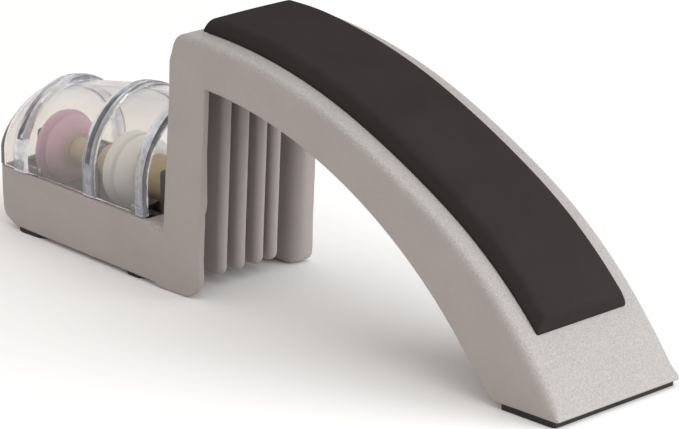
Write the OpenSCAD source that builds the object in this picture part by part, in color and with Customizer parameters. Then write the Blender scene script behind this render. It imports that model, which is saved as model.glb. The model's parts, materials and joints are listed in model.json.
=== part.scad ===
// Two-stage wet wheel knife sharpener with an arched handle.
// Units mm, +Z up, ground at z = 0, origin under the middle of the outline.
// The long axis (trough to heel) runs along X; the wheels turn about X.

/* [Body] */
// overall width of the body across Y
body_w = 50; // [49:0.5:54]
// thickness of the moulded side and top walls
wall = 2.8; // [2.4:0.1:3.2]
// half-width lost per mm of trough length toward its free end
taper = 0.06; // [0.04:0.005:0.065]
// radius of the long top edges of the handle
edge_r = 3; // [1.5:0.25:3.5]
// how far the inner ribs stand back from the wall edges
rib_back = 3.7; // [2.5:0.1:4.5]
// thickness of the inner ribs
rib_t = 3.4; // [2.4:0.1:3.6]

/* [Trough] */
// height of the trough rim above the ground
rim_z = 19.6; // [18.6:0.2:20.4]
// thickness of the trough side walls
trough_wall = 2.2; // [1.8:0.1:2.4]
// height of the trough underside above the ground
trough_z = 1.2; // [1:0.1:1.6]

/* [Grip] */
// width of the soft pad at its base
pad_w = 36; // [32:0.5:38]
// thickness of the soft pad
pad_h = 4.2; // [3.4:0.1:4.6]

/* [Wheels] */
// radius of the left grinding discs
disc_r = 11.75; // [11.25:0.25:12.25]
// thickness of the left half of the pink wheel
pink_t = 3.3; // [3:0.1:3.4]
// thickness of the left half of the white wheel
white_t = 4.7; // [4.2:0.1:5]
// radius at the bottom of the V grooves
groove_r = 8.4; // [8:0.1:9]
// height of the wheel axis above the ground
axis_z = 23; // [22.5:0.1:23.5]
// radius of the fixed axle
axle_r = 2; // [1.8:0.05:2.2]
// radial running clearance of the bushes on the axle
run_gap = 0.05; // [0.02:0.01:0.1]

/* [Cover] */
// wall thickness of the clear cover
cover_t = 1.6; // [1.2:0.1:2]
// width of the two knife slots
slot_w = 2.4; // [1.8:0.1:3]
// height at which the knife slots end
slot_z = 30; // [29:0.5:33]
// gap between pieces that move against each other
gap = 0.3; // [0.3:0.05:0.4]

/* [Hidden] */

hw = body_w / 2;          // half width of the handle
x_left = -92.5;           // free end of the trough at the rim
pink_x = -80.5;           // middle of the cradle window under the pink wheel
white_x = -47;            // middle of the cradle window under the white wheel
slot_x = [-81.2, -47.6];  // middles of the two knife slots
pink_m = -81.1;           // bottom of the groove of the pink wheel
white_m = -47.8;          // bottom of the groove of the white wheel
heel_z = 1.8;             // underside of the heel
sole_x0 = 127.8;          // heel pad, inner end
sole_x1 = 148.5;          // heel pad, outer end

// the top line of the handle is three tangent arcs, angles from the vertical
R1 = 180.2; R2 = 308.3; R3 = 145;
a0 = 1.78; a1 = 22.8; a2 = 29.6;
C1 = [-3, 80.45 - R1];
E1 = C1 + R1 * [sin(a1), cos(a1)];
C2 = E1 - R2 * [sin(a1), cos(a1)];
E2 = C2 + R2 * [sin(a2), cos(a2)];
C3 = E2 - R3 * [sin(a2), cos(a2)];
a3 = acos((heel_z - C3[1]) / R3);
x_right = C3[0] + R3 * sin(a3);
x_mid = (x_left + x_right) / 2;

// the underside of the handle is one arc, then a straight run to the heel
RU = 153; u0 = 3.5; u1 = 47;
CU = [8 - RU * sin(u0), 65.9 - RU * cos(u0)];
EU = CU + RU * [sin(u1), cos(u1)];
heel_x0 = EU[0] + (EU[1] - heel_z) / tan(50);

function on_arc(c, r, a) = c + r * [sin(a), cos(a)];
// points of the top line moved inward by d, from angle s to angle e
function top_line(d, s, e, n = 8) = concat(
    [for (i = [0 : n]) on_arc(C1, R1 - d, s + (a1 - s) * i / n)],
    [for (i = [1 : 4]) on_arc(C2, R2 - d, a1 + (a2 - a1) * i / 4)],
    [for (i = [1 : n]) on_arc(C3, R3 - d, a2 + (e - a2) * i / n)]);
// points of the underside moved up into the material by d, heel end first
function under_line(d, n = 14) = [for (i = [0 : n]) on_arc(CU, RU + d, u1 - (u1 - u0) * i / n)];
// half width of the trough at x
function hwt(x) = hw - taper * max(0, -14 - x);
function arc2(c, r, s, e, n = 5) = [for (i = [0 : n]) c + r * [cos(s + (e - s) * i / n), sin(s + (e - s) * i / n)]];

module at() { translate([-x_mid, 0, 0]) children(); }
// side outline (X,Z) given thickness across Y from y0 to y1
module side(y0, y1) { translate([0, y1, 0]) rotate([90, 0, 0]) linear_extrude(height = y1 - y0) children(); }
// rings of points joined into one closed skin
function q2(a, b, c, d) = [[a, b, c], [a, c, d]];
module loft(rings) {
    m = len(rings[0]); k = len(rings);
    polyhedron(points = [for (r = rings) each r], convexity = 8, faces = concat(
        [[for (j = [0 : m - 1]) m - 1 - j]], [[for (j = [0 : m - 1]) (k - 1) * m + j]],
        [for (i = [0 : k - 2], j = [0 : m - 1], t = q2(i * m + j, i * m + (j + 1) % m, (i + 1) * m + (j + 1) % m, (i + 1) * m + j)) t]));
}
// stations along the top line: [arc centre, arc radius, angle]
function spine(s, e, n1, n2, n3) = concat(
    [for (i = [0 : n1]) [C1, R1, s + (a1 - s) * i / n1]],
    [for (i = [1 : n2]) [C2, R2, a1 + (a2 - a1) * i / n2]],
    [for (i = [1 : n3]) [C3, R3, a2 + (e - a2) * i / n3]]);
// a section of [height off the top line, Y] points stood at one station
function stood(st, sec) = [for (q = sec) let (p = on_arc(st[0], st[1] + q[0], st[2])) [p[0], q[1], p[1]]];
// the top corners grow rounder toward the heel
function corner_r(a) = 1.4 + (edge_r - 1.4) * min(1, max(0, (a - a0) / 30));
function handle_sec(er) = concat([[-32, hw], [-32, -hw]],
    arc2([-er, -hw + er], er, -90, 0), arc2([-er, hw - er], er, 0, 90));

// ---------- main moulding ----------
module handle_solid() {
    difference() {
        loft([for (st = spine(a0, a3 + 3, 12, 4, 20)) stood(st, handle_sec(corner_r(st[2])))]);
        // everything under the arch
        side(-hw - 1, hw + 1) polygon(concat(
            [[-40, -60], [heel_x0 + 30, -60], [heel_x0 + 30, heel_z], [heel_x0 + 1.4, heel_z], [heel_x0 - 0.6, heel_z + 1.6]],
            under_line(0), [[8, 20], [-40, 20]]));
        // below the heel
        translate([60, -hw - 1, -60]) cube([140, body_w + 2, 60 + heel_z]);
    }
}
// the post, with a light bevel round its side faces
module post_side(d) {
    polygon([[-10.5 + d, 9], [-10.5 + d, rim_z], [-7 + d, 62], [-6.85 + d, 69], [-6.4 + d, 74.8 - d * 0.2], [-5.4 + d * 0.9, 77.6 - d * 0.5],
        [-3.5 + d * 0.6, 79.7 - d * 0.8], [-1.6 + d * 0.4, 80.35 - d * 0.9], [0.4 + d * 0.2, 80.6 - d], [2.9, 80.5 - d], [8.6 - d, 76 - d], [8.6 - d, 66.6], [5.3 - d, 12], [5 - d, 9]]);
}
// the back wall of the post ends further back than the front wall
back_cut = [[-1.6, -1], [-1.6, 0.2], [0, 0.9], [1.2, 2.4], [1.7, 4.6], [1.8, 12], [4.7, 62], [5.4, 64.8], [7.2, 65.88], [9.5, 65.78], [9.5, -1]];
module block_solid() {
    hull() {
        side(-hw + 1, hw - 1) post_side(0);
        side(-hw, hw) post_side(0.9);
    }
}
// the two walls run down as legs that just clear the table
module legs() {
    for (s = [-1, 1]) side(s > 0 ? hw - wall : -hw, s > 0 ? hw : -hw + wall)
        polygon(concat([[-16.2, 4], [-15.2, 2.2]], arc2([-12.6, 2.15], 2, 200, 270), arc2([-1.5, 7.15], 7, 270, 352, 7), [[5.45, 7.2], [5.4, 9.4], [5.3, 12], [-9, 12]]));
}
module trough_plan(d, x0, x1) {
    r = 2.6 - d * 0.8;
    yl = hwt(x0) - d;
    polygon(concat([[x1, -hwt(x1) + d]], [[x1, hwt(x1) - d]], x1 > -14 ? [[-14, hw - d]] : [],
        arc2([x0 + r, yl - r], r, 90, 180), arc2([x0 + r, -yl + r], r, 180, 270), x1 > -14 ? [[-14, -hw + d]] : []));
}
module trough_solid() {
    intersection() {
        linear_extrude(height = rim_z) trough_plan(0, x_left, -7);
        side(-hw - 1, hw + 1) polygon([[x_left, rim_z], [x_left + 1.5, 5.6], [x_left + 2.6, 3.7], [x_left + 7.2, trough_z], [-7, trough_z], [-7, rim_z]]);
    }
}
module trough_room() {
    intersection() {
        translate([0, 0, trough_z + 2.6]) linear_extrude(height = 40) trough_plan(trough_wall, x_left + trough_wall, -19.8);
        side(-hw - 1, hw + 1) polygon([[x_left + 2.2, rim_z + 6], [x_left + 2.3, rim_z], [x_left + 4.4, 6.4],
            [x_left + 6.8, trough_z + 2.6], [-19.8, trough_z + 2.6], [-19.8, rim_z + 6]]);
    }
}
// room inside the post and the arch, open below
function room_pts(d) = concat([[-17.2, -4], [-17.2, rim_z - 2.6], [-9.8, rim_z - 2.6], [-9.8, 4], [-10.5 + wall + 0.3, 4], [-10.5 + wall + 0.3, rim_z - 2.6], [-6.2 + wall, 66], [-2.6, 74.6]],
    top_line(wall, a0, a3 - 2.2), [[heel_x0 - 2.6, heel_z + wall + 0.2], [heel_x0 - 9, -4]]);
module rib_side(back) {
    // rib outline: follows the wall edges, stood back from them
    polygon(concat([[-18, trough_z + 2.3], [-18, rim_z - 1.4], [-9, rim_z - 1.4], [-5, 66], [-3.4, 75.8]],
        top_line(wall - 1, a0, a3 - 3.4), [[heel_x0 + 3, heel_z + 1.2], [heel_x0 - back * 0.2, heel_z + 1.4]],
        [for (i = [0 : 12]) on_arc(CU, RU + back, u1 - (u1 - u0 - 2) * i / 12)],
        [[9.5 - back, 62.8 + back], [8 - back, 58 + back], [5.2 - back, 12]], arc2([2 - back, trough_z + 5.3], 3, 0, -90, 4)));
}
module main_body() {
    color("#9f9893") at() {
        difference() {
            union() { handle_solid(); block_solid(); legs(); trough_solid(); }
            side(-hw + wall, hw - wall) polygon(room_pts(0));
            trough_room();
            // peg holes of the grip pad
            for (a = [[C1, R1, 7], [C1, R1, 19], [C3, R3, 33], [C3, R3, 43]]) for (s = [-1, 1])
                peg_at(a[0], a[1], a[2], s * 9) translate([0, 0, -6]) cylinder(r = 2, h = 7, $fn = 48);
            // pockets of the four trough feet
            for (f = feet) translate([f[0], f[1], 0]) foot_shape(f, 1.5, trough_z + 1);
            side(hw - wall - 0.6, hw + 1) polygon(back_cut);
        }
        for (y = [-11, -3.7, 3.7, 9.4]) side(y - rib_t / 2, y + rib_t / 2) rib_side(rib_back);
        // the back wall is rolled over into a thick round edge
        hull() for (d = [0, 2]) side(hw - 5.6 - d, hw - wall + 0.2)
            polygon([[-7, 0.3], [-1.2 - d, 0.3], [0.6 - d, 0.9], [1.7 - d, 2.5], [2.2 - d, 4.6], [2.3 - d, 12], [5.2 - d, 62], [5.8 - d, 67.4], [-5, 67.4]]);
        // short stiffener on the inside of the front wall
        side(-hw + wall - 0.6, -hw + wall + 1.2) polygon([[-9, 26], [-5, 66], [2, 78], [12, 77.6], [12, 68], [6.6, 65], [5.9, 62], [5.6, 30], [5.2, 27.4], [4.2, 25.4], [2.5, 24.6]]);
    }
}

// ---------- soft pad ----------
module peg_at(c, r, a, y) { p = on_arc(c, r, a); translate([p[0], y, p[1]]) rotate([0, a, 0]) children(); }
// share of the full height: a little over one away from the ends
function pad_k(a) = 1 + 0.05 * min(1, max(0, (a - 1.5) / 4)) * min(1, max(0, (45 - a) / 8));
// pad section, k = share of the full height, d = drawn in at the sides
function pad_sec(k, d) = let (b = pad_w / 2 - d, t = b - pad_h * 0.68 * k) [for (q = concat([[0, b], [0, -b], [0.7, -b]],
    arc2([pad_h - 1.2, -t + 0.1], 1.2, -48, 0, 4), arc2([pad_h - 1.2, t - 0.1], 1.2, 0, 48, 4), [[0.7, b]])) [q[0] * k, q[1]]];
// low sloped right end and blunt left end: [mm along from the end, share of height, draw-in]
pad_end = [[0, 0.2, 0.8], [0.6, 0.34, 0.5], [1.6, 0.54, 0.2], [2.8, 0.76, 0], [4, 0.93, 0], [5, 1, 0]];
pad_nose = [[0, 0.3, 0.8], [0.4, 0.55, 0.4], [1, 0.76, 0.1], [1.8, 0.93, 0], [2.7, 1, 0]];
module grip_pad() {
    s = asin((0.1 - C1[0]) / R1);
    e = 47.75;
    k = 180 / PI;
    color("#3d3837") at() {
        loft(concat(
            [for (p = pad_nose) stood([C1, R1, s + p[0] * k / R1], pad_sec(p[1] * pad_k(0), p[2]))],
            [for (st = spine(s + 6 * k / R1, e - 6 * k / R3, 9, 4, 10)) stood(st, pad_sec(pad_k(st[2] - s), 0))],
            [for (i = [len(pad_end) - 1 : -1 : 0]) stood([C3, R3, e - pad_end[i][0] * k / R3], pad_sec(pad_end[i][1], pad_end[i][2]))]));
        for (a = [[C1, R1, 7], [C1, R1, 19], [C3, R3, 33], [C3, R3, 43]]) for (s = [-1, 1])
            peg_at(a[0], a[1], a[2], s * 9) translate([0, 0, -wall - 1.4]) cylinder(r = 2, h = wall + 2, $fn = 48);
    }
}

// ---------- rubber feet ----------
// broad feet under the free end, short ones near the post: [x, y, length, depth, corner radius]
feet = [for (f = [[-77.4, 14.4, 17.2, 13, 6], [-25.6, 20.1, 9, 7, 3]], s = [-1, 1]) [f[0], s * f[1], f[2], f[3], f[4]]];
// outline drawn in by d, standing h high
module foot_shape(f, d, h) {
    r = f[4] - d;
    a = f[2] / 2 - f[4];
    b = f[3] / 2 - f[4];
    linear_extrude(height = h) polygon(concat(arc2([a, b], r, 0, 90, 8), arc2([-a, b], r, 90, 180, 8), arc2([-a, -b], r, 180, 270, 8), arc2([a, -b], r, 270, 360, 8)));
}
// a sole under the trough and a plug in its pocket
module foot(i) {
    color("#262322") at() translate([feet[i][0], feet[i][1], 0]) {
        foot_shape(feet[i], 0, trough_z);
        foot_shape(feet[i], 1.5, trough_z + 1);
    }
}
module front_left_foot() { foot(0); }
module back_left_foot() { foot(1); }
module front_right_foot() { foot(2); }
module back_right_foot() { foot(3); }
module heel_pad() {
    color("#262322") at() linear_extrude(height = heel_z) polygon(concat(
        arc2([sole_x1 - 1.2, hw - 1.7], 1.2, 0, 90), arc2([sole_x0 + 1, hw - 1.7], 1, 90, 180, 3),
        arc2([sole_x0 + 1, -hw + 1.7], 1, 180, 270, 3), arc2([sole_x1 - 1.2, -hw + 1.7], 1.2, 270, 360)));
}

// ---------- wheel unit ----------
up_t = 2.4;                       // thickness of the uprights
up_l = -87.2;                     // left faces of the three uprights
up_m = -65.5;
up_r = -25;
wash = 0.6;
cradle_z = trough_z + 2.6 + gap;
module tube_x(x0, x1, ro, ri) {
    translate([x0, 0, axis_z]) rotate([0, 90, 0]) difference() {
        cylinder(r = ro, h = x1 - x0, $fn = 96);
        if (ri > 0) translate([0, 0, -1]) cylinder(r = ri, h = x1 - x0 + 2, $fn = 96);
    }
}
module upright(x, w, top) {
    translate([x, 0, 0]) rotate([90, 0, 90]) linear_extrude(height = up_t) difference() {
        polygon(concat([[-w, cradle_z], [w, cradle_z]], arc2([w - 1.2, top - 1.2], 1.2, 0, 90, 3), arc2([-w + 1.2, top - 1.2], 1.2, 90, 180, 3)));
        translate([0, axis_z]) circle(r = axle_r, $fn = 96);
    }
}
module wheel_cradle() {
    color("#8b8684") at() difference() {
        union() {
            upright(up_l, 8, 29.4);
            upright(up_m, 4.2, 26.4);
            upright(up_r, 12.8, 31);
            // floor with a window under each wheel, and side rails
            difference() {
                translate([up_l, 0, cradle_z]) linear_extrude(height = 1.8) polygon([[0, -12.5], [up_r + up_t - up_l, -14.6], [up_r + up_t - up_l, 14.6], [0, 12.5]]);
                for (x = [pink_x, white_x]) translate([x - 6, -8, cradle_z - 1]) cube([12, 16, 4]);
            }
            for (s = [-1, 1]) translate([up_l + 0.5, 0, cradle_z]) linear_extrude(height = 5)
                polygon([[0, s * 12.5], [up_r + up_t - up_l - 1, s * 14.6], [up_r + up_t - up_l - 1, s * 12.6], [0, s * 10.5]]);
        }
        // the sloped end of the trough
        side(-20, 20) polygon([[x_left - 10, -5], [x_left - 10, trough_z + 5.8], [x_left + 4.75, trough_z + 5.8], [x_left + 7.4, trough_z + 3.3], [x_left + 7.9, -5]]);
    }
}
module axle() { color("#b9bcc0") at() tube_x(up_l - 1.4, up_r + up_t + 1.4, axle_r, 0); }
module axle_clips() {
    color("#8f9398") at() for (x = [up_l - 0.9, up_r + up_t + 0.1]) difference() {
        tube_x(x, x + 0.8, axle_r + 2, axle_r);
        translate([x - 1, -axle_r * 0.8, axis_z]) cube([3, axle_r * 1.6, 8]);
    }
}
module pink_washers() { color("#c9ccd0") at() { tube_x(up_l + up_t, up_l + up_t + wash, 4, axle_r); tube_x(up_m - wash, up_m, 4, axle_r); } }
module white_washers() { color("#c9ccd0") at() { tube_x(up_m + up_t, up_m + up_t + wash, 4, axle_r); tube_x(up_r - wash, up_r, 4, axle_r); } }
hub_r = 5;
module turned(m) { translate([m, 0, axis_z]) rotate([0, 90, 0]) rotate_extrude($fn = 144) children(); }
module disc_left(m, t, g) {
    // left half of a grinding wheel: flat outer face with a shallow step, conical inner face
    turned(m) polygon([[hub_r, 0], [groove_r, 0], [disc_r - 0.3, -g], [disc_r, -g - 0.3], [disc_r, -t + 0.5], [disc_r - 0.5, -t],
        [9.1, -t], [9.1, -t + 0.5], [hub_r, -t + 0.5]]);
}
module disc_right(m, r, t) {
    // right half: narrow conical inner face, domed outer face
    turned(m) polygon([[hub_r, 0], [groove_r, 0], [r - 0.25, 0.35], [r, 0.6], [r - 0.05, 0.6 + t * 0.1], [r - 0.35, 0.6 + t * 0.25],
        [r - 1.05, 0.6 + t * 0.46], [r - 2, 0.6 + t * 0.65], [r - 3.1, 0.6 + t * 0.8], [hub_r + 1.3, t], [hub_r, t]]);
}
bush_r = 3;
module hub(x0, x1, m, t, drum, rim) {
    // sleeve that carries both discs, with a flange against the right disc and a drum beside it
    difference() {
        union() {
            tube_x(x0, m + t, hub_r, bush_r);
            tube_x(m + t, m + t + 1.2, hub_r + rim, bush_r);
            tube_x(x0, x1, 4.2, bush_r);
            if (drum > 0) tube_x(m + t + 1.2, x1 - 1, drum, bush_r);
        }
        tube_x(x0 - 1, x1 + 1, bush_r, 0);
    }
}
px0 = up_l + up_t + wash + gap;   px1 = up_m - wash - gap;
wx0 = up_m + up_t + wash + gap;   wx1 = up_r - wash - gap;
module pink_disc_left() { color("#c9a9b4") at() disc_left(pink_m, pink_t, 1.4); }
module pink_disc_right() { color("#c9a9b4") at() disc_right(pink_m, disc_r - 1.15, 3.7); }
module pink_hub() { color("#b8a68f") at() hub(px0, px1, pink_m, 3.7, 0, 0.4); }
module pink_bush() { color("#d9d4c8") at() tube_x(px0, px1, bush_r, axle_r + run_gap); }
module white_disc_left() { color("#d2cec7") at() disc_left(white_m, white_t, 0.8); }
module white_disc_right() { color("#d2cec7") at() disc_right(white_m, disc_r - 0.5, 5.6); }
module white_hub() { color("#b8a68f") at() hub(wx0, wx1, white_m, 5.6, 7, 1.3); }
module white_bush() { color("#d9d4c8") at() tube_x(wx0, wx1, bush_r, axle_r + run_gap); }

// ---------- clear cover ----------
cov_z = rim_z + gap;
cov_x0 = x_left + 0.1;
cov_x1 = -20.2;
cov_n = 20;
// crown height of the plain dome at x
function crown(x) = 42.2 + 0.255 * (x + 91.3) - 0.00145 * (x + 91.3) * (x + 91.3);
// height at which the round of the dome starts at x
function spring(x) = 25.5 + 0.066 * (x + 80.5);
// one arch in the Y,Z plane: straight sides, then a nearly round dome
function arch(w, z, zs, b) = concat([[-w, b]],
    [for (i = [0 : cov_n]) let (a = 180 - 180 * i / cov_n, c = abs(cos(a))) [(a > 90 ? -1 : 1) * w * pow(c, 1.05), zs + (z - zs) * pow(sin(a), 1.05)]],
    [[w, b]]);
// how far the cover stands in from the outside of the trough at x
function cov_in_by(x) = 0.1 + 1.1 * min(1, max(0, (x + 92) / 30));
// rib stations: [x, outward bump at the sides, at the crown]
function rib_st(x, h) = [[x - 3.2, 0, 0], [x - 2.4, 0.5 * h, h], [x + 2.4, 0.5 * h, h], [x + 3.2, 0, 0]];
// stations of the rounded left end: a along, drawn in by b at the sides and c at the crown
function end_st(x, a, b, c) = [for (t = [0, 25, 45, 65, 90]) [x + a * (1 - cos(t)), -b * (1 - sin(t)), -c * (1 - sin(t))]];
body_st = concat(rib_st(slot_x[0], 2.1), [[-72, 0, 0], [-64, 0, 0], [-56, 0, 0]], rib_st(slot_x[1], 1.2), [[-38, 0, 0], [-31, 0, 0], [-26.5, 0, 0]],
    [[-25, 0, 0], [-24.4, 0.8, 1.5], [cov_x1, 0.8, 1.5]]);
stations = concat(end_st(cov_x0, 5, 1, 8), body_st);
in_st = concat(end_st(cov_x0 + cover_t, 3.6, 0.6, 5), [for (s = body_st) [s[0], 0, 0]]);
function out_ring(s) = [for (p = arch(hwt(s[0]) - cov_in_by(s[0]) + s[1], crown(s[0]) + s[2], spring(s[0]), cov_z)) [s[0], p[0], p[1]]];
function in_ring(s) = [for (p = arch(hwt(s[0]) - cov_in_by(s[0]) - cover_t + s[1], crown(s[0]) - cover_t + s[2], spring(s[0]), cov_z)) [s[0], p[0], p[1]]];
cov_m = cov_n + 3;
cov_out = [for (s = stations) each out_ring(s)];
cov_in = [for (s = in_st) each in_ring(s)];
cov_k = len(stations);
module cover_shell() {
    n0 = cov_k * cov_m;
    polyhedron(points = concat(cov_out, cov_in), convexity = 6, faces = concat(
        [for (i = [0 : cov_k - 2], j = [0 : cov_m - 2], t = q2(i * cov_m + j, i * cov_m + j + 1, (i + 1) * cov_m + j + 1, (i + 1) * cov_m + j)) t],
        [for (i = [0 : cov_k - 2], j = [0 : cov_m - 2], t = q2(n0 + i * cov_m + j, n0 + (i + 1) * cov_m + j, n0 + (i + 1) * cov_m + j + 1, n0 + i * cov_m + j + 1)) t],
        // lower edges
        [for (i = [0 : cov_k - 2], t = q2(i * cov_m, (i + 1) * cov_m, n0 + (i + 1) * cov_m, n0 + i * cov_m)) t],
        [for (i = [0 : cov_k - 2], t = q2((i + 1) * cov_m + cov_m - 1, i * cov_m + cov_m - 1, n0 + i * cov_m + cov_m - 1, n0 + (i + 1) * cov_m + cov_m - 1)) t],
        // open right end
        [for (j = [0 : cov_m - 2], t = q2((cov_k - 1) * cov_m + j, (cov_k - 1) * cov_m + j + 1, n0 + (cov_k - 1) * cov_m + j + 1, n0 + (cov_k - 1) * cov_m + j)) t],
        // closed left end, outside and inside, and its lower edge
        [for (j = [1 : cov_m - 2]) [0, j + 1, j]],
        [for (j = [1 : cov_m - 2]) [n0, n0 + j, n0 + j + 1]],
        q2(0, n0, n0 + cov_m - 1, cov_m - 1)));
}
module tab_plan(x, s, d) {
    i = trough_wall + gap + 1.2;
    polygon([[x, s * (hwt(x) - d)], [x + 5, s * (hwt(x + 5) - d)], [x + 5, s * (hwt(x + 5) - i)], [x, s * (hwt(x) - i)]]);
}
module clear_cover() {
    color([0.82, 0.84, 0.86, 0.45]) at() {
        difference() {
            cover_shell();
            for (x = slot_x) translate([x - slot_w / 2, -40, slot_z]) cube([slot_w, 80, 40]);
        }
        // tabs that locate the cover inside the trough walls, each on a short ledge
        for (s = [-1, 1], x = [-79, -27.5]) {
            translate([0, 0, rim_z - 2]) linear_extrude(height = 4.4) tab_plan(x, s, trough_wall + gap);
            translate([0, 0, cov_z]) linear_extrude(height = 2.4 - gap) tab_plan(x, s, 1.7);
        }
    }
}

main_body();
grip_pad();
heel_pad();
front_left_foot();
back_left_foot();
front_right_foot();
back_right_foot();
wheel_cradle();
axle();
axle_clips();
pink_washers();
white_washers();
pink_disc_left();
pink_disc_right();
pink_hub();
pink_bush();
white_disc_left();
white_disc_right();
white_hub();
white_bush();
clear_cover();
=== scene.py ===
import json
import math

import bmesh
import bpy
import numpy as np
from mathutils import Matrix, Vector


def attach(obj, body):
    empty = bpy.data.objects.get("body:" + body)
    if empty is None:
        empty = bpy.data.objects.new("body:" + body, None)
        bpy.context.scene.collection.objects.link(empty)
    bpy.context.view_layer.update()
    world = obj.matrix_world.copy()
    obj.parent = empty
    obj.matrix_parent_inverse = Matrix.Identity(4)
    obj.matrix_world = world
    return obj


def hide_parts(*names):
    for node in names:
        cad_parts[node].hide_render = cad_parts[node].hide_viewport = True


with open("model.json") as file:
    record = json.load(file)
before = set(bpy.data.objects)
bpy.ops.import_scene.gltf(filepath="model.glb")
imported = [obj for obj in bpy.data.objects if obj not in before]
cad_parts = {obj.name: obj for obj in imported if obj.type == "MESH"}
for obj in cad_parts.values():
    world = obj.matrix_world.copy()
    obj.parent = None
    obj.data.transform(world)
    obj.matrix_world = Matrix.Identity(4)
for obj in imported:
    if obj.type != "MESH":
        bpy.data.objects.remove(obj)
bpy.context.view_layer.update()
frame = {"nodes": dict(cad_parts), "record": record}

nodes = frame["nodes"]
MM = 0.001

# ---------------------------------------------------------------- outline
# Millimetres. X is measured from the post here and shifted to the row frame
# when a mesh is made; the numbers are those of the CAD source.
HW, WALL = 25.0, 2.8
RIM_Z, TROUGH_Z, HEEL_Z = 19.6, 1.2, 1.8
X_LEFT, AXIS_Z = -92.5, 23.0
PINK_M, WHITE_M, DISC_R = -81.1, -47.8, 11.75
RIB_T, RIB_BACK, TROUGH_WALL, GAP = 3.4, 3.7, 2.2, 0.3
R1, R2, R3 = 180.2, 308.3, 145.0
A0, A1, A2 = (math.radians(a) for a in (1.78, 22.8, 29.6))


def on_arc(c, r, a):
    return np.array([c[0] + r * math.sin(a), c[1] + r * math.cos(a)])


C1 = np.array([-3.0, 80.45 - R1])
C2 = on_arc(C1, R1, A1) - R2 * np.array([math.sin(A1), math.cos(A1)])
C3 = on_arc(C2, R2, A2) - R3 * np.array([math.sin(A2), math.cos(A2)])
A3 = math.acos((HEEL_Z - C3[1]) / R3)
X_RIGHT = C3[0] + R3 * math.sin(A3)
X_MID = (X_LEFT + X_RIGHT) / 2
RU, U0, U1 = 153.0, math.radians(3.5), math.radians(47.0)
CU = np.array([8 - RU * math.sin(U0), 65.9 - RU * math.cos(U0)])
EU = on_arc(CU, RU, U1)
HEEL_X0 = EU[0] + (EU[1] - HEEL_Z) / math.tan(math.radians(50))


def arc_run(c, r, s, e, step=0.6):
    n = max(2, int(abs(math.degrees(e - s)) / step))
    return [on_arc(c, r, s + (e - s) * i / n) for i in range(n + 1)]


def top_line(d, s, e):
    return np.array(arc_run(C1, R1 - d, s, A1) + arc_run(C2, R2 - d, A1, A2)[1:] + arc_run(C3, R3 - d, A2, e)[1:])


def under_line(d, e=U0):
    return np.array(arc_run(CU, RU + d, U1, e))


def half_width(x):
    return HW - 0.06 * np.maximum(0, -14 - x)


def turn(cx, cz, r, s, e, n=8):
    a = np.radians(np.linspace(s, e, n + 1))
    return np.stack([cx + r * np.cos(a), cz + r * np.sin(a)], 1)


def bezier(p, q, r, n=10):
    t = np.linspace(0, 1, n + 1)[:, None]
    p, q, r = (np.array(v, float) for v in (p, q, r))
    return (1 - t) ** 2 * p + 2 * t * (1 - t) * q + t * t * r


# ---------------------------------------------------------------- rounded solids
# Each moulded piece is a distance field on a grid: outlines given thickness, with
# every edge and root rounded, then skinned and thinned out on its flat faces.
def outline_distance(px, pz, pts):
    p = np.asarray(pts, float)
    q = np.roll(p, -1, 0)
    best = np.full(px.shape, 1e18)
    inside = np.zeros(px.shape, bool)
    for (ax, az), (bx, bz) in zip(p, q):
        ex, ez = bx - ax, bz - az
        ll = ex * ex + ez * ez
        if ll < 1e-12:
            continue
        t = np.clip(((px - ax) * ex + (pz - az) * ez) / ll, 0, 1)
        np.minimum(best, (px - ax - t * ex) ** 2 + (pz - az - t * ez) ** 2, out=best)
        if az != bz:
            inside ^= ((az > pz) != (bz > pz)) & (px < ex * (pz - az) / ez + ax)
    d = np.sqrt(best)
    return np.where(inside, -d, d)


def rmax(a, b, r):
    u, v = a + r, b + r
    return np.minimum(np.maximum(u, v), 0) + np.hypot(np.maximum(u, 0), np.maximum(v, 0)) - r


def rmin(a, b, r):
    return -rmax(-a, -b, r)


class Grid:
    def __init__(self, lo, hi, h):
        self.h = h
        self.lo = np.array(lo, float) - 0.137
        n = np.ceil((np.array(hi, float) - self.lo) / h).astype(int) + 1
        self.x, self.y, self.z = (self.lo[i] + h * np.arange(n[i]) for i in range(3))
        self.X, self.Z = np.meshgrid(self.x, self.z, indexing="ij")
        self.Y3 = self.y[None, :, None].astype(np.float32)
        self.Z3 = self.z[None, None, :].astype(np.float32)

    def side(self, pts):
        return outline_distance(self.X, self.Z, pts)[:, None, :].astype(np.float32)

    def plan(self, pts):
        x, y = np.meshgrid(self.x, self.y, indexing="ij")
        return outline_distance(x, y, pts)[:, :, None].astype(np.float32)


CORNERS = [(i, j, k) for k in (0, 1) for j in (0, 1) for i in (0, 1)]


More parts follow.
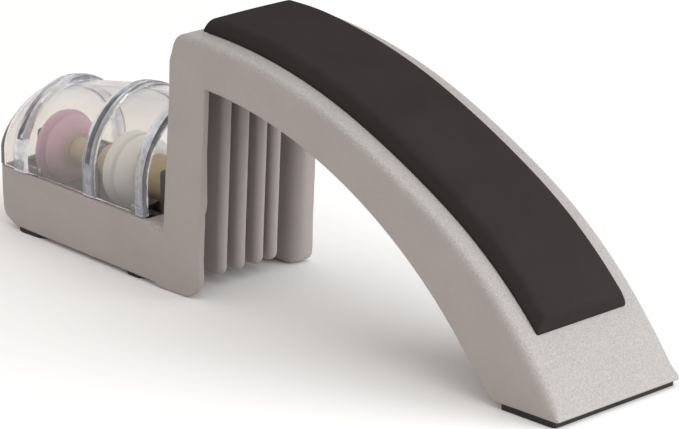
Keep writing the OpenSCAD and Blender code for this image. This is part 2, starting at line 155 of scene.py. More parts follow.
def skin(vol, g):
    s = vol < 0
    nx, ny, nz = vol.shape
    cnt = np.zeros((nx - 1, ny - 1, nz - 1), np.int8)
    for i, j, k in CORNERS:
        cnt += s[i:nx - 1 + i, j:ny - 1 + j, k:nz - 1 + k]
    act = (cnt > 0) & (cnt < 8)
    idx = np.argwhere(act)
    ids = np.full(act.shape, -1, np.int32)
    ids[act] = np.arange(len(idx))
    val = np.stack([vol[idx[:, 0] + i, idx[:, 1] + j, idx[:, 2] + k] for i, j, k in CORNERS], 1)
    acc = np.zeros((len(idx), 3))
    m = np.zeros(len(idx))
    for a in range(8):
        for b in range(a + 1, 8):
            d = np.array(CORNERS[b]) - np.array(CORNERS[a])
            if abs(d).sum() != 1:
                continue
            cr = (val[:, a] < 0) != (val[:, b] < 0)
            t = val[cr, a] / (val[cr, a] - val[cr, b])
            acc[cr] += np.array(CORNERS[a]) + t[:, None] * d
            m[cr] += 1
    verts = g.lo + g.h * (idx + acc / m[:, None])
    quads = []
    for ax in range(3):
        u, v = (ax + 1) % 3, (ax + 2) % 3
        first = np.take(s, range(vol.shape[ax] - 1), ax)
        second = np.take(s, range(1, vol.shape[ax]), ax)
        e = np.argwhere(first != second)
        e = e[(e[:, u] > 0) & (e[:, u] < vol.shape[u] - 1) & (e[:, v] > 0) & (e[:, v] < vol.shape[v] - 1)]

        def cell(du, dv):
            c = e.copy()
            c[:, u] -= du
            c[:, v] -= dv
            return ids[c[:, 0], c[:, 1], c[:, 2]]

        q = np.stack([cell(1, 1), cell(0, 1), cell(0, 0), cell(1, 0)], 1)
        out = first[e[:, 0], e[:, 1], e[:, 2]]
        quads += [q[out], q[~out][:, ::-1]]
    return verts, np.concatenate(quads)


def sample(vol, p):
    hi = np.array(vol.shape) - 1.001
    p = np.clip(p, 0, hi)
    i = p.astype(int)
    f = p - i
    r = 0
    for a, b, c in CORNERS:
        w = (f[:, 0] if a else 1 - f[:, 0]) * (f[:, 1] if b else 1 - f[:, 1]) * (f[:, 2] if c else 1 - f[:, 2])
        r = r + w * vol[i[:, 0] + a, i[:, 1] + b, i[:, 2] + c]
    return r


def link(name, mesh):
    ob = bpy.data.objects.new(name, mesh)
    bpy.context.scene.collection.objects.link(ob)
    return ob


def place(v):
    """Millimetres measured from the post to metres in the row frame."""
    return (np.asarray(v, float) - [X_MID, 0, 0]) * MM


def moulded(name, vol, g, faces):
    verts, quads = skin(vol, g)
    me = bpy.data.meshes.new(name + "_dense")
    me.vertices.add(len(verts))
    me.vertices.foreach_set("co", place(verts).astype(np.float32).ravel())
    me.loops.add(quads.size)
    me.loops.foreach_set("vertex_index", quads.astype(np.int32).ravel())
    me.polygons.add(len(quads))
    me.polygons.foreach_set("loop_start", np.arange(0, quads.size, 4, dtype=np.int32))
    me.update(calc_edges=True)
    ob = link(name, me)
    mod = ob.modifiers.new("thin", "DECIMATE")
    mod.ratio = min(1.0, faces / (2.0 * len(quads)))
    thin = bpy.data.meshes.new_from_object(ob.evaluated_get(bpy.context.evaluated_depsgraph_get()))
    ob.modifiers.clear()
    ob.data = thin
    thin.name = name
    bpy.data.meshes.remove(me)
    thin.polygons.foreach_set("use_smooth", np.ones(len(thin.polygons), bool))
    co = np.zeros(len(thin.vertices) * 3, np.float32)
    thin.vertices.foreach_get("co", co)
    at = (co.reshape(-1, 3).astype(float) / MM + [X_MID, 0, 0] - g.lo) / g.h
    n = np.stack([sample(vol, at + e) - sample(vol, at - e) for e in np.eye(3) * 0.6], 1)
    n /= np.linalg.norm(n, axis=1, keepdims=True) + 1e-12
    thin.normals_split_custom_set_from_vertices(n.tolist())
    return ob


def smooth(t):
    t = np.clip(t, 0, 1)
    return t * t * (3 - 2 * t)


def along_top(x, z):
    """Distance along the top line, height off it and angle, of points beside it."""
    a1 = np.arctan2(x - C1[0], z - C1[1])
    a2 = np.arctan2(x - C2[0], z - C2[1])
    a3 = np.arctan2(x - C3[0], z - C3[1])
    m1, m3 = a1 < A1, a3 > A2
    n = np.where(m1, np.hypot(x - C1[0], z - C1[1]) - R1, np.where(m3, np.hypot(x - C3[0], z - C3[1]) - R3, np.hypot(x - C2[0], z - C2[1]) - R2))
    l1, l2 = R1 * (A1 - A0), R2 * (A2 - A1)
    s = np.where(m1, R1 * (a1 - A0), np.where(m3, l1 + l2 + R3 * (a3 - A2), l1 + R2 * (a2 - A1)))
    return s, n, np.where(m1, a1, np.where(m3, a3, a2))


def trough_plan(d, x0, x1):
    r = 2.6 - d * 0.8
    y = half_width(x0) - d
    p = [[x1, -half_width(x1) + d], [x1, half_width(x1) - d]] + ([[-14, HW - d]] if x1 > -14 else [])
    p += turn(x0 + r, y - r, r, 90, 180).tolist() + turn(x0 + r, -y + r, r, 180, 270).tolist()
    return p + ([[-14, -HW + d]] if x1 > -14 else [])


def build_body():
    g = Grid((X_LEFT - 1.6, -HW - 1.6, -1.6), (X_RIGHT + 1.6, HW + 1.6, 82), 0.5)
    ay = np.abs(g.Y3)
    handle = np.concatenate([top_line(0, A0, A3), [[HEEL_X0 + 1.4, HEEL_Z], [HEEL_X0 - 0.6, HEEL_Z + 1.6]], under_line(0), [[4, 66], [2.6, 74]]])
    post = [[-10.5, 9], [-10.5, RIM_Z], [-7, 62], [-6.85, 69], [-6.7, 72], [-6.4, 74.8], [-6, 76.3], [-5.4, 77.6], [-4.55, 78.85], [-3.5, 79.7], [-1.6, 80.35], [0.4, 80.6], [2.9, 80.5],
            [8.6, 76], [8.6, 66.6], [5.3, 12], [5, 9]]
    legs = np.concatenate([[[-16.2, 4], [-15.2, 2.2]], turn(-12.6, 2.15, 2, 200, 270), turn(-1.5, 7.15, 7, 270, 352), [[5.45, 7.2], [5.4, 9.4], [5.3, 12], [-9, 12]]])
    out2 = np.minimum(np.minimum(g.side(handle), g.side(post)), g.side(legs))
    s, n, a = along_top(g.X, g.Z)
    deg = np.degrees(a)
    top_r = np.interp(deg, [0, 3, 14, 24, 40, 50, 58, 66], [2.2, 2.4, 2.2, 2.0, 2.6, 3.0, 2.4, 1.2])
    low_r = 0.45 + 0.3 * smooth((g.Z - 4) / 5)
    edge = low_r + (top_r - low_r) * smooth((9.5 + n) / 4.5)
    edge = (0.45 + (edge - 0.45) * np.where(g.X > 100, smooth((g.Z - 2.2) / 4), 1.0))[:, None, :].astype(np.float32)
    outer = rmax(out2, ay - HW, edge)
    # the upright corners of the heel are round in plan
    outer = np.maximum(outer, g.plan([[X_LEFT, -HW]] + turn(X_RIGHT - 1.6, -HW + 1.6, 1.6, 270, 360).tolist() + turn(X_RIGHT - 1.6, HW - 1.6, 1.6, 0, 90).tolist() + [[X_LEFT, HW]]))
    low = np.concatenate([[[X_LEFT, RIM_Z]], bezier([X_LEFT + 1.3, 7.6], [X_LEFT + 1.75, 4.3], [X_LEFT + 3.6, 3.2], 6), bezier([X_LEFT + 6.2, 2.1], [X_LEFT + 7.3, TROUGH_Z], [X_LEFT + 9, TROUGH_Z], 6),
                          [[-7, TROUGH_Z], [-7, RIM_Z]]])
    # the rim is crisp beside the well and turns into a soft shoulder by the post
    rim_r = np.where(g.Z3 > 10, 0.42 + 3.6 * smooth((g.x + 19.4) / 5.5)[:, None, None], 0.45).astype(np.float32)
    trough = rmax(g.plan(trough_plan(0, X_LEFT, -7)), g.side(low), rim_r)
    d = np.minimum(outer, trough)
    del outer, trough
    room = np.concatenate([[[-17.2, -6], [-17.2, RIM_Z - 2.6], [-9.8, RIM_Z - 2.6], [-9.8, 4], [-10.5 + WALL + 0.3, 4], [-10.5 + WALL + 0.3, RIM_Z - 2.6], [-6.2 + WALL, 66], [-2.6, 74.6]],
                           top_line(WALL, A0, A3 - math.radians(2.2)), [[HEEL_X0 - 2.6, HEEL_Z + WALL + 0.2], [HEEL_X0 - 9, -6]]])
    d = rmax(d, -rmax(g.side(room), ay - (HW - WALL), 1.2), 0.95)
    back = [[-4.6, -6], [-4.6, 0.2], [-3, 0.9], [-1.6, 2.4], [-0.9, 4.6], [-0.8, 12], [2.1, 62], [4, 64.8], [7.2, 65.88], [9.5, 65.78], [9.5, -6]]
    d = rmax(d, -rmax(g.side(back), (HW - WALL - 0.6) - g.Y3, 0.3), 1.25)
    # the back wall is rolled over into a thick round edge
    roll = g.side([[-8.6, 0.3], [-1.2, 0.3], [0.6, 0.9], [1.7, 2.5], [2.2, 4.6], [2.3, 12], [5.2, 62], [5.8, 67.4], [-5, 67.4]])
    nose = rmax(g.side([[-18, -8], [1.7, -8], [2.3, 12], [5.2, 62], [5.8, 67.4], [6.6, 78], [-18, 78]]), g.Y3 - HW, 0.9)
    nose = rmax(nose, HW - 7.6 - g.Y3, 5.5)
    d = np.maximum(rmin(d, rmax(nose, roll, 0.7), 0.4), g.Y3 - HW)
    well = [[X_LEFT + 2.2, RIM_Z + 6], [X_LEFT + 2.3, RIM_Z], [X_LEFT + 4.4, 6.4], [X_LEFT + 6.8, TROUGH_Z + 2.6], [-19.8, TROUGH_Z + 2.6], [-19.8, RIM_Z + 6]]
    d = rmax(d, -rmax(g.plan(trough_plan(TROUGH_WALL, X_LEFT + TROUGH_WALL, -19.8)), g.side(well), 0.8), 0.4)
    rib = np.concatenate([[[-18, TROUGH_Z + 2.3], [-18, RIM_Z - 1.4], [-9, RIM_Z - 1.4], [-5, 66], [-3.4, 75.8]], top_line(WALL - 1, A0, A3 - math.radians(3.4)),
                          [[HEEL_X0 + 3, HEEL_Z + 1.2], [HEEL_X0 - RIB_BACK * 0.2, HEEL_Z + 1.4]], under_line(RIB_BACK, U0 + math.radians(2)),
                          [[9.5 - RIB_BACK, 62.8 + RIB_BACK], [8 - RIB_BACK, 58 + RIB_BACK], [5.2 - RIB_BACK, 12]], turn(2 - RIB_BACK, TROUGH_Z + 5.3, 3, 0, -90)])
    rib2 = g.side(rib)
    for y in (-11, -3.7, 3.7, 9.4):
        d = rmin(d, rmax(rmax(rib2, g.Y3 - y - RIB_T / 2, 1.2), y - g.Y3 - RIB_T / 2, 2.1), 0.9)
    stiff = g.side([[-9, 26], [-5, 66], [2, 78], [12, 77.6], [12, 68], [6.6, 65], [5.9, 62], [5.6, 30], [5.2, 27.4], [4.2, 25.4], [2.5, 24.6]])
    d = rmin(d, rmax(stiff, np.abs(g.Y3 + HW - WALL - 0.3) - 0.9, 0.6), 0.35)
    return moulded("body_moulding", d, g, 90000)


def build_pad():
    g = Grid((-4, -19.5, 17), (140, 19.5, 86), 0.5)
    s, n, a = along_top(g.X, g.Z)
    s0 = R1 * (math.asin(3.1 / R1) - A0)
    s1 = R1 * (A1 - A0) + R2 * (A2 - A1) + R3 * (math.radians(47.75) - A2)
    s, n = (v[:, None, :].astype(np.float32) for v in (s, n))
    ay = np.abs(g.Y3)
    # the sides are steeper toward the left end, and the pad is a little thicker away from its ends
    slope = 0.6 + 0.2 * smooth((s - s0) / 42)
    n = n / (1 + 0.045 * np.clip((s - s0 - 4.7) / 12.6, 0, 1) * np.clip((s1 - s - 5) / 20, 0, 1))
    side = rmax((ay - 18 + slope * (n - 0.7)) / np.hypot(1, slope), ay - 18, 0.5)
    left = rmax((s0 - s + 0.3 * (n - 0.6)) / math.hypot(1, 0.3), s0 - s, 0.5)
    right = rmax((s - s1 + 0.95 * (n - 0.6)) / math.hypot(1, 0.95), s - s1, 0.4)
    d = rmax(rmax(side, right, 0.8), left, 1.3)
    d = rmax(d, n - 4.15 + 0.14 * (ay / 16) ** 2, np.where(s < 30, 1.9 - 0.9 * smooth((s - s0) / 14), 1.0).astype(np.float32))
    d = rmax(d, -n - 0.4, 0.3)
    return moulded("soft_grip", d, g, 22000)


# ---------------------------------------------------------------- clear cover
COV_Z, COV_X0, COV_X1, COV_T, SLOT_Z, SLOT = RIM_Z + GAP, X_LEFT + 0.1, -20.2, 1.6, 30.0, 1.2
RIBS = ((-81.2, 2.1), (-47.6, 1.2))


def crown(x):
    return 42.2 + 0.255 * (x + 91.3) - 0.00145 * (x + 91.3) ** 2


def spring(x):
    return 25.5 + 0.066 * (x + 80.5)


def cov_half(x):
    return half_width(x) - 0.1 - 1.1 * min(1, max(0, (x + 92) / 30))


def bump_at(x):
    b = 0.0
    for xr, h in RIBS:
        t = (abs(x - xr) - 1.6) / 1.9
        b = max(b, h if t <= 0 else h * max(0.0, 1 - t * t) ** 0.75 if t < 1 else 0.0)
    t = (-23.1 - x) / 1.9
    return max(b, 1.5 if t <= 0 else 1.5 * max(0.0, 1 - t * t) ** 0.75 if t < 1 else 0.0)


def arch(w, top, zs, n1=7, n2=26):
    """One arch in Y and Z, with a point on each side exactly at the slot's end."""
    h = top - zs
    z = np.linspace(COV_Z, SLOT_Z, n1 + 1)
    u = np.clip((z - zs) / h, 0, 1)
    y = w * (1 - u ** (2 / 1.05)) ** (1.05 / 2)
    a = np.linspace(math.asin(((SLOT_Z - zs) / h) ** (1 / 1.05)), math.pi / 2, n2 + 1)[1:]
    y = np.concatenate([y, w * np.maximum(np.cos(a), 0) ** 1.05])
    z = np.concatenate([z, zs + h * np.sin(a) ** 1.05])
    y[-1] = 0.0
    return np.concatenate([np.stack([-y, z], 1), np.stack([y, z], 1)[-2::-1]]), n1


def build_cover():
    xs = set(np.round(np.arange(COV_X0 + 5.8, COV_X1, 1.1), 3).tolist())
    keep = [COV_X0 + 5, COV_X1]
    for xr, h in RIBS:
        xs = {x for x in xs if abs(x - xr) > 3.7}
        keep += [xr + k for k in (-3.5, -3.45, -3.3, -3.0, -2.6, -2.2, -1.85, -1.55, -1.2, -0.5, 0.5, 1.2, 1.55, 1.85, 2.2, 2.6, 3.0, 3.3, 3.45, 3.5)]
    xs = {x for x in xs if x < -25.5}
    keep += [-25, -24.95, -24.8, -24.55, -24.2, -23.8, -23.4, -23, -22, -21]
    xs = sorted(xs | {round(x, 3) for x in keep})
    outer, inner = [], []

    def ring_at(to, x, w, top):
        ring, k = arch(w, top, spring(x))
        to.append(np.column_stack([np.full(len(ring), x), ring]))
        return k

    # the closed left end: rings that close in on the middle of the lower edge, then a round shoulder
    mid = np.array([0, COV_Z])
    for f in (0.02, 0.3, 0.6, 0.85):
        for to, x, w, top in ((outer, COV_X0, cov_half(COV_X0) - 1, crown(COV_X0) - 8), (inner, COV_X0 + COV_T, cov_half(COV_X0 + COV_T) - COV_T - 0.6, crown(COV_X0 + COV_T) - COV_T - 5)):
            ring, k = arch(w, top, spring(x))
            to.append(np.column_stack([np.full(len(ring), x), mid + f * (ring - mid)]))
    for t in np.radians([0, 10, 20, 30, 40, 50, 60, 70, 80]):
        q = 1 - math.sin(t)
        x = COV_X0 + 5 * (1 - math.cos(t))
        ring_at(outer, x, cov_half(x) - q, crown(x) - 8 * q)
        x = COV_X0 + COV_T + 3.6 * (1 - math.cos(t))
        ring_at(inner, x, cov_half(x) - COV_T - 0.6 * q, crown(x) - COV_T - 5 * q)
    first = len(outer)
    for x in xs:
        b = bump_at(x)
        k = ring_at(outer, x, cov_half(x) + 0.5 * b, crown(x) + b)
        x = max(x, COV_X0 + COV_T + 3.6)
        ring_at(inner, x, cov_half(x) - COV_T, crown(x) - COV_T)
    outer, inner = np.array(outer), np.array(inner)
    ns, nr = outer.shape[:2]
    n0 = ns * nr
    faces = []

    def o(i, j):
        return i * nr + j

    def inn(i, j):
        return n0 + i * nr + j

    cut = np.zeros((ns, nr), bool)
    spans = []
    for xr, h in RIBS:
        a = first + xs.index(round(xr - SLOT, 3))
        b = first + xs.index(round(xr + SLOT, 3))
        cut[a:b, k:nr - 1 - k] = True
        spans.append((a, b))
    for i in range(ns - 1):
        for j in range(nr - 1):
            if not cut[i, j]:
                faces.append((o(i, j), o(i, j + 1), o(i + 1, j + 1), o(i + 1, j)))
                faces.append((inn(i, j), inn(i + 1, j), inn(i + 1, j + 1), inn(i, j + 1)))
        faces.append((o(i, 0), o(i + 1, 0), inn(i + 1, 0), inn(i, 0)))
        faces.append((o(i + 1, nr - 1), o(i, nr - 1), inn(i, nr - 1), inn(i + 1, nr - 1)))
    for j in range(nr - 1):
        faces.append((o(ns - 1, j), o(ns - 1, j + 1), inn(ns - 1, j + 1), inn(ns - 1, j)))
    faces.append(tuple(o(0, j) for j in range(nr)))
    faces.append(tuple(inn(0, j) for j in reversed(range(nr))))
    faces.append((o(0, nr - 1), o(0, 0), inn(0, 0), inn(0, nr - 1)))
    for a, b in spans:
        for j in range(k, nr - 1 - k):
            faces.append((o(a, j), inn(a, j), inn(a, j + 1), o(a, j + 1)))
            faces.append((o(b, j), o(b, j + 1), inn(b, j + 1), inn(b, j)))
        for i in range(a, b):
            for j in (k, nr - 1 - k):
                faces.append((o(i, j), o(i + 1, j), inn(i + 1, j), inn(i, j)))
    bm = bmesh.new()
    vs = [bm.verts.new(p) for p in place(np.concatenate([outer.reshape(-1, 3), inner.reshape(-1, 3)]))]
    for f in faces:
        bm.faces.new([vs[i] for i in f])
    loose = [v for v in bm.verts if not v.link_faces]
    bmesh.ops.delete(bm, geom=loose, context="VERTS")
    # the locating tabs inside the trough walls
    for sgn, x0 in ((-1, -79.0), (1, -79.0), (-1, -27.5), (1, -27.5)):
        ring = []
        for x in np.linspace(x0, x0 + 5, 4):
            yo = half_width(x) - TROUGH_WALL - GAP
            yh = half_width(x) - 1.8
            prof = [(yo, RIM_Z - 1.7), (yo - 0.3, RIM_Z - 2), (yo - 0.9, RIM_Z - 2), (yo - 1.2, RIM_Z - 1.7), (yo - 1.2, RIM_Z + 2.1), (yo - 0.9, RIM_Z + 2.4), (yh, RIM_Z + 2.4), (yh, COV_Z + 0.05), (yo, COV_Z + 0.05)]
            ring.append([bm.verts.new(p) for p in place([[x, sgn * y, z] for y, z in prof])])
        for p, q in zip(ring, ring[1:]):
            for i in range(9):
                bm.faces.new((p[i], p[(i + 1) % 9], q[(i + 1) % 9], q[i]))
        bm.faces.new(ring[0])
        bm.faces.new(ring[-1])
    bmesh.ops.recalc_face_normals(bm, faces=bm.faces)
    me = bpy.data.meshes.new("clear_dome")
    bm.to_mesh(me)
    bm.free()
    me.polygons.foreach_set("use_smooth", np.ones(len(me.polygons), bool))
    me.set_sharp_from_angle(angle=math.radians(38))
    return link("clear_dome", me)


# ---------------------------------------------------------------- wheels
def rounded(pts, r, n=4):
    """A closed outline with its corners rounded by up to r."""
    p = np.array(pts, float)
    out = []
    for i in range(len(p)):
        a, b, c = p[i - 1], p[i], p[(i + 1) % len(p)]
        u, v = a - b, c - b
        lu, lv = np.linalg.norm(u), np.linalg.norm(v)
        k = min(r, lu * 0.45, lv * 0.45)
        out += bezier(b + u / lu * k, b, b + v / lv * k, n).tolist()
    return np.array(out)


def lathe(name, x, profile, seg=128):
    bm = bmesh.new()
    a = np.linspace(0, 2 * math.pi, seg, endpoint=False)
    rings = [[bm.verts.new(p) for p in place(np.stack([np.full(seg, x + px), pr * np.cos(a), AXIS_Z + pr * np.sin(a)], 1))] for pr, px in profile]
    for p, q in zip(rings, rings[1:] + rings[:1]):
        for i in range(seg):
            bm.faces.new((p[i], p[(i + 1) % seg], q[(i + 1) % seg], q[i]))
    bmesh.ops.recalc_face_normals(bm, faces=bm.faces)
    me = bpy.data.meshes.new(name)
    bm.to_mesh(me)
    bm.free()
    me.polygons.foreach_set("use_smooth", np.ones(len(me.polygons), bool))
    me.set_sharp_from_angle(angle=math.radians(40))
    return link(name, me)


def disc_left(name, m, t, g):
    """Left half of a wheel: flat outer face with a shallow step, conical inner face."""
    r = DISC_R
    p = [[5, 0], [8.4, 0], [r - 0.3, -g], [r, -g - 0.3], [r, -t + 0.5], [r - 0.5, -t], [9.1, -t], [8.9, -t + 0.5], [5, -t + 0.5]]
    return lathe(name, m, rounded(p, 0.4))


def disc_right(name, m, r, t):
    """Right half of a wheel: narrow conical inner face, domed outer face."""
    p = [[5, 0], [8.4, 0], [r - 0.25, 0.35], [r, 0.6], [r - 0.05, 0.6 + t * 0.1], [r - 0.35, 0.6 + t * 0.25], [r - 1.05, 0.6 + t * 0.46],
         [r - 2, 0.6 + t * 0.65], [r - 3.1, 0.6 + t * 0.8], [6.3, t], [5, t]]
    return lathe(name, m, rounded(p, 0.5))


# ---------------------------------------------------------------- materials
def lin(h):
    c = [int(h[i:i + 2], 16) / 255 for i in (1, 3, 5)]
    return tuple(x / 12.92 if x <= 0.04045 else ((x + 0.055) / 1.055) ** 2.4 for x in c) + (1.0,)


class Mat:
    def __init__(self, name):
        self.m = bpy.data.materials.new(name)
        self.m.use_nodes = True
        self.nt = self.m.node_tree
        self.nt.nodes.clear()
        out = self.nt.nodes.new("ShaderNodeOutputMaterial")
        self.b = self.nt.nodes.new("ShaderNodeBsdfPrincipled")
        self.nt.links.new(self.b.outputs[0], out.inputs[0])
        tc = self.nt.nodes.new("ShaderNodeTexCoord")
        self.co, self.nrm = tc.outputs["Object"], tc.outputs["Normal"]

    def noise(self, scale, detail=3.0, rough=0.55):
        n = self.nt.nodes.new("ShaderNodeTexNoise")
        n.inputs["Scale"].default_value = scale
        n.inputs["Detail"].default_value = detail
        n.inputs["Roughness"].default_value = rough
        self.nt.links.new(self.co, n.inputs["Vector"])
        return n.outputs["Fac"]

    def cells(self, scale, feature="F1"):
        n = self.nt.nodes.new("ShaderNodeTexVoronoi")
        n.feature = feature
        n.inputs["Scale"].default_value = scale
        self.nt.links.new(self.co, n.inputs["Vector"])
        return n.outputs["Distance"]

    def ramp(self, fac, stops):
        r = self.nt.nodes.new("ShaderNodeValToRGB")
        while len(r.color_ramp.elements) < len(stops):
            r.color_ramp.elements.new(0.5)
        for e, (p, c) in zip(r.color_ramp.elements, stops):
            e.position = p
            e.color = c if isinstance(c, tuple) else (c, c, c, 1)
        self.nt.links.new(fac, r.inputs[0])
        return r.outputs[0]

    def mix(self, fac, a, b):
        n = self.nt.nodes.new("ShaderNodeMix")
        n.data_type = "RGBA"
        if isinstance(fac, float):
            n.inputs[0].default_value = fac
        else:
            self.nt.links.new(fac, n.inputs[0])
        self.nt.links.new(a, n.inputs[6])
        self.nt.links.new(b, n.inputs[7])
        return n.outputs[2]

    def bump(self, height, strength, dist, normal=None):
        n = self.nt.nodes.new("ShaderNodeBump")
        n.inputs["Strength"].default_value = strength
        n.inputs["Distance"].default_value = dist
        self.nt.links.new(height, n.inputs["Height"])
        if normal is not None:
            self.nt.links.new(normal, n.inputs["Normal"])
        return n.outputs["Normal"]

    def math(self, op, a, b=None, clamp=False):
        n = self.nt.nodes.new("ShaderNodeMath")
        n.operation = op
        n.use_clamp = clamp
        for i, v in enumerate((a, b)):
            if hasattr(v, "is_linked"):
                self.nt.links.new(v, n.inputs[i])
            elif v is not None:
                n.inputs[i].default_value = v
        return n.outputs[0]

    def set(self, **kw):
        for k, v in kw.items():
            s = self.b.inputs[k.replace("_", " ")]
            if hasattr(v, "is_linked"):
                self.nt.links.new(v, s)
            else:
                s.default_value = v
        return self.m


def grey_plastic():
    m = Mat("grey_moulding")
    tone = m.ramp(m.noise(55, 4), [(0.3, lin("#978e8b")), (0.7, lin("#9d9491"))])
    # wider-contrast, cooler speckle: the moulding's grain, used here as painted glints and painted cool top light on
    # up-facing faces
    glint_speck = m.ramp(m.noise(1700, 3, 0.65), [(0.3, lin("#7f7a78")), (0.7, lin("#ada9a7"))])
    up = m.nt.nodes.new("ShaderNodeSeparateXYZ")
    m.nt.links.new(m.nrm, up.inputs[0])
    # mask by how far a face points up: more speckle on top faces is painted glint and painted cooler light from above,
    # not wear
    painted_top_glint = m.math("ADD", 0.1, m.math("MULTIPLY", m.math("MULTIPLY", m.math("SUBTRACT", up.outputs["Z"], 0.2), 3.0, True), 0.45))
    col = m.mix(painted_top_glint, tone, glint_speck)
    rough = m.ramp(m.noise(900, 3), [(0.3, 0.46), (0.7, 0.6)])
    nrm = m.bump(m.noise(2600, 2), 0.28, 0.00012)
    nrm = m.bump(m.noise(1250, 2), 0.16, 0.0002, nrm)
    return m.set(Base_Color=col, Roughness=rough, Normal=nrm, Specular_IOR_Level=0.42)


def rubber(name, dark, light, r0, r1, grain=2400, strength=0.12, spec=0.3):
    m = Mat(name)
    col = m.mix(0.35, m.ramp(m.noise(45, 4), [(0.3, lin(dark)), (0.7, lin(light))]), m.ramp(m.noise(2100, 2), [(0.3, lin(dark)), (0.7, lin(light))]))
    rough = m.ramp(m.noise(700, 3), [(0.3, r0), (0.7, r1)])
    nrm = m.bump(m.noise(grain, 2), strength, 0.0001)
    return m.set(Base_Color=col, Roughness=rough, Normal=nrm, Specular_IOR_Level=spec)


def ceramic(name, dark, mid, light):
    m = Mat(name)
    grit = m.ramp(m.noise(2600, 3, 0.7), [(0.28, lin(dark)), (0.5, lin(mid)), (0.74, lin(light))])
    tone = m.ramp(m.noise(220, 4), [(0.3, lin(mid)), (0.75, lin(light))])
    nrm = m.bump(m.noise(3000, 3), 0.3, 0.00012)
    nrm = m.bump(m.cells(1500), 0.12, 0.0001, nrm)
    return m.set(Base_Color=m.mix(0.45, tone, grit), Roughness=m.ramp(m.noise(700, 3), [(0.3, 0.62), (0.7, 0.78)]), Normal=nrm)


def plain_plastic(name, a, b, r0, r1, grain=1500, strength=0.1):
    m = Mat(name)
    col = m.ramp(m.noise(120, 4), [(0.3, lin(a)), (0.7, lin(b))])
    rough = m.ramp(m.noise(600, 3), [(0.3, r0), (0.7, r1)])
    return m.set(Base_Color=col, Roughness=rough, Normal=m.bump(m.noise(grain, 2), strength, 0.0001))


def steel():
    m = Mat("turned_steel")
    map_ = m.nt.nodes.new("ShaderNodeMapping")
    map_.inputs["Scale"].default_value = (9000, 160, 160)
    m.nt.links.new(m.co, map_.inputs["Vector"])
    n = m.nt.nodes.new("ShaderNodeTexNoise")
    n.inputs["Scale"].default_value = 1.0
    n.inputs["Detail"].default_value = 3
    m.nt.links.new(map_.outputs[0], n.inputs["Vector"])
    lines = n.outputs["Fac"]
    col = m.ramp(lines, [(0.3, lin("#a3a5a8")), (0.7, lin("#c6c8ca"))])
    return m.set(Base_Color=col, Metallic=1.0, Roughness=m.ramp(lines, [(0.3, 0.22), (0.7, 0.4)]), Normal=m.bump(lines, 0.1, 0.00005))


def clear_plastic():
    m = Mat("clear_polished")
    # nearly clear where it is seen square on, cool where it is seen edge on
    lw = m.nt.nodes.new("ShaderNodeLayerWeight")
    lw.inputs["Blend"].default_value = 0.5
    flat = m.ramp(m.noise(30, 2), [(0.3, lin("#f4f1ec")), (0.7, lin("#f8f5f1"))])
    edge = m.ramp(m.noise(30, 2), [(0.3, lin("#c7ccd8")), (0.7, lin("#d1d5df"))])
    col = m.mix(m.ramp(lw.outputs["Facing"], [(0.35, 0.0), (0.95, 1.0)]), flat, edge)
    # the thick ribs and the open end are cooler, a little cloudy and wavy
    x = m.nt.nodes.new("ShaderNodeSeparateXYZ")
    m.nt.links.new(m.co, x.inputs[0])
    near = None
    for c in (RIBS[0][0], RIBS[1][0], COV_X1 - 1.8):
        dist = m.math("ABSOLUTE", m.math("SUBTRACT", x.outputs["X"], (c - X_MID) * MM))
        band = m.math("SUBTRACT", 1.0, m.math("MULTIPLY", m.math("SUBTRACT", dist, 0.0013), 1 / 0.0014, True), True)
        near = band if near is None else m.math("MAXIMUM", near, band)
    cloud = m.ramp(m.noise(420, 3), [(0.35, lin("#bcc4d6")), (0.65, lin("#f1f3f7"))])
    col = m.mix(near, col, cloud)
    clear = m.math("SUBTRACT", 0.95, m.math("MULTIPLY", near, 0.22))
    rough = m.math("ADD", m.ramp(m.noise(400, 3), [(0.35, 0.015), (0.75, 0.045)]), m.math("MULTIPLY", near, 0.08))
    nrm = m.bump(m.noise(70, 2), 0.05, 0.0004)
    nrm = m.bump(m.math("MULTIPLY", near, m.noise(330, 2)), 0.25, 0.0005, nrm)
    return m.set(Base_Color=col, Roughness=rough, Normal=nrm, Transmission_Weight=clear, IOR=1.42)


MATS = {
    "grey_moulding": grey_plastic(),
    "soft_pad": rubber("soft_pad", "#2d2727", "#342e2e", 0.55, 0.64, spec=0.004),
    "foot_rubber": rubber("foot_rubber", "#1d1b1a", "#292625", 0.6, 0.75, 1600, 0.2),
    # the cradle is a dark grey part, and its grey is set darker still as painted shade for the inside of the trough
    "cradle_plastic": plain_plastic("cradle_plastic", "#575150", "#625c5a", 0.42, 0.55),
    "steel": steel(),
    "pink_ceramic": ceramic("pink_ceramic", "#cd9ab7", "#deb0c8", "#eecbdc"),
    "white_ceramic": ceramic("white_ceramic", "#f0efec", "#f7f6f4", "#fcfbfa"),
    "tan_plastic": plain_plastic("tan_plastic", "#b9a68a", "#c7b598", 0.4, 0.55),
    "bush_plastic": plain_plastic("bush_plastic", "#d6d0c2", "#e2ddd0", 0.3, 0.42),
    "clear_plastic": clear_plastic(),
}
SLOT_OF = {p["node"]: p["material_slot"] for p in frame["record"]["subparts"]}


def dress(ob, slot):
    ob.data.materials.clear()
    ob.data.materials.append(MATS[slot])


for name, ob in nodes.items():
    dress(ob, SLOT_OF[name])
    ob.data.polygons.foreach_set("use_smooth", np.ones(len(ob.data.polygons), bool))
    ob.data.set_sharp_from_angle(angle=math.radians(32))

for name in ("heel_pad", "front_left_foot", "back_left_foot", "front_right_foot", "back_right_foot", "wheel_cradle"):
    b = nodes[name].modifiers.new("soft_edges", "BEVEL")
    b.width = 0.0004
    b.segments = 3
    b.limit_method = "ANGLE"
    b.angle_limit = math.radians(40)
    b.harden_normals = True


def piece(ob, body, slot, *stands_for):
    dress(ob, slot)
    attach(ob, body)
    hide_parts(*stands_for)
    return ob


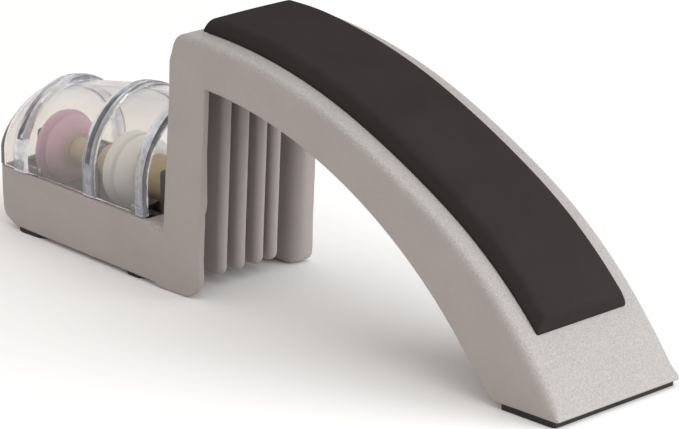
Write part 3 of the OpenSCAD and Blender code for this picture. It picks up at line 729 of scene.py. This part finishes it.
piece(build_body(), "base", "grey_moulding", "main_body")
piece(build_pad(), "base", "soft_pad", "grip_pad")
piece(build_cover(), "cover", "clear_plastic", "clear_cover")
piece(disc_left("pink_half_left", PINK_M, 3.3, 1.4), "pink_wheel", "pink_ceramic", "pink_disc_left")
piece(disc_right("pink_half_right", PINK_M, DISC_R - 1.15, 3.7), "pink_wheel", "pink_ceramic", "pink_disc_right")
piece(disc_left("white_half_left", WHITE_M, 4.7, 0.8), "white_wheel", "white_ceramic", "white_disc_left")
piece(disc_right("white_half_right", WHITE_M, DISC_R - 0.5, 5.6), "white_wheel", "white_ceramic", "white_disc_right")

# ---------------------------------------------------------------- stage
bm = bmesh.new()
n = 24
grid = [[bm.verts.new((x, y, 0)) for y in np.linspace(-4, 4, n)] for x in np.linspace(-4, 4, n)]
for i in range(n - 1):
    for j in range(n - 1):
        bm.faces.new((grid[i][j], grid[i + 1][j], grid[i + 1][j + 1], grid[i][j + 1]))
me = bpy.data.meshes.new("floor")
bm.to_mesh(me)
bm.free()
floor = link("floor", me)
fm = Mat("pale_floor")
fm.set(Base_Color=fm.ramp(fm.noise(3, 3), [(0.3, (0.82, 0.805, 0.795, 1)), (0.7, (0.84, 0.825, 0.815, 1))]), Roughness=0.85)
floor.data.materials.append(fm.m)

world = bpy.data.worlds.new("studio")
bpy.context.scene.world = world
world.use_nodes = True
bg = world.node_tree.nodes["Background"]
bg.inputs["Color"].default_value = (1.0, 0.96, 0.935, 1)
bg.inputs["Strength"].default_value = 0.92


def area(name, loc, target, size, power, color=(1, 1, 1)):
    d = bpy.data.lights.new(name, "AREA")
    d.shape = "RECTANGLE"
    d.size, d.size_y = size
    d.energy = power
    d.color = color
    ob = bpy.data.objects.new(name, d)
    bpy.context.scene.collection.objects.link(ob)
    ob.location = loc
    ob.rotation_mode = "QUATERNION"
    ob.rotation_quaternion = (Vector(loc) - Vector(target)).to_track_quat("Z", "Y")
    return ob


area("key", (0.95, 0.35, 1.1), (0.05, 0.03, 0.03), (2.2, 2.2), 18.8, (0.84, 0.96, 1.0))
area("fill", (1.05, -0.5, 0.22), (-0.02, 0, 0.03), (0.6, 0.4), 0.7, (1.0, 0.97, 0.94))
area("side", (1.0, 0.55, 0.25), (-0.02, 0, 0.03), (0.6, 0.4), 5.8, (0.96, 0.97, 0.98))

cam = bpy.data.cameras.new("camera")
cam.lens = 212.2
cam.sensor_width = 36.0
cam.clip_start, cam.clip_end = 0.05, 50
cam_ob = bpy.data.objects.new("camera", cam)
bpy.context.scene.collection.objects.link(cam_ob)
eye, aim = Vector((0.80686, -0.76655, 0.39379)), Vector((-0.01441, 0.02372, 0.0183))
cam_ob.location = eye
cam_ob.rotation_mode = "QUATERNION"
cam_ob.rotation_quaternion = (aim - eye).to_track_quat("-Z", "Y")
bpy.context.scene.camera = cam_ob
bpy.context.scene.view_settings.view_transform = "Standard"
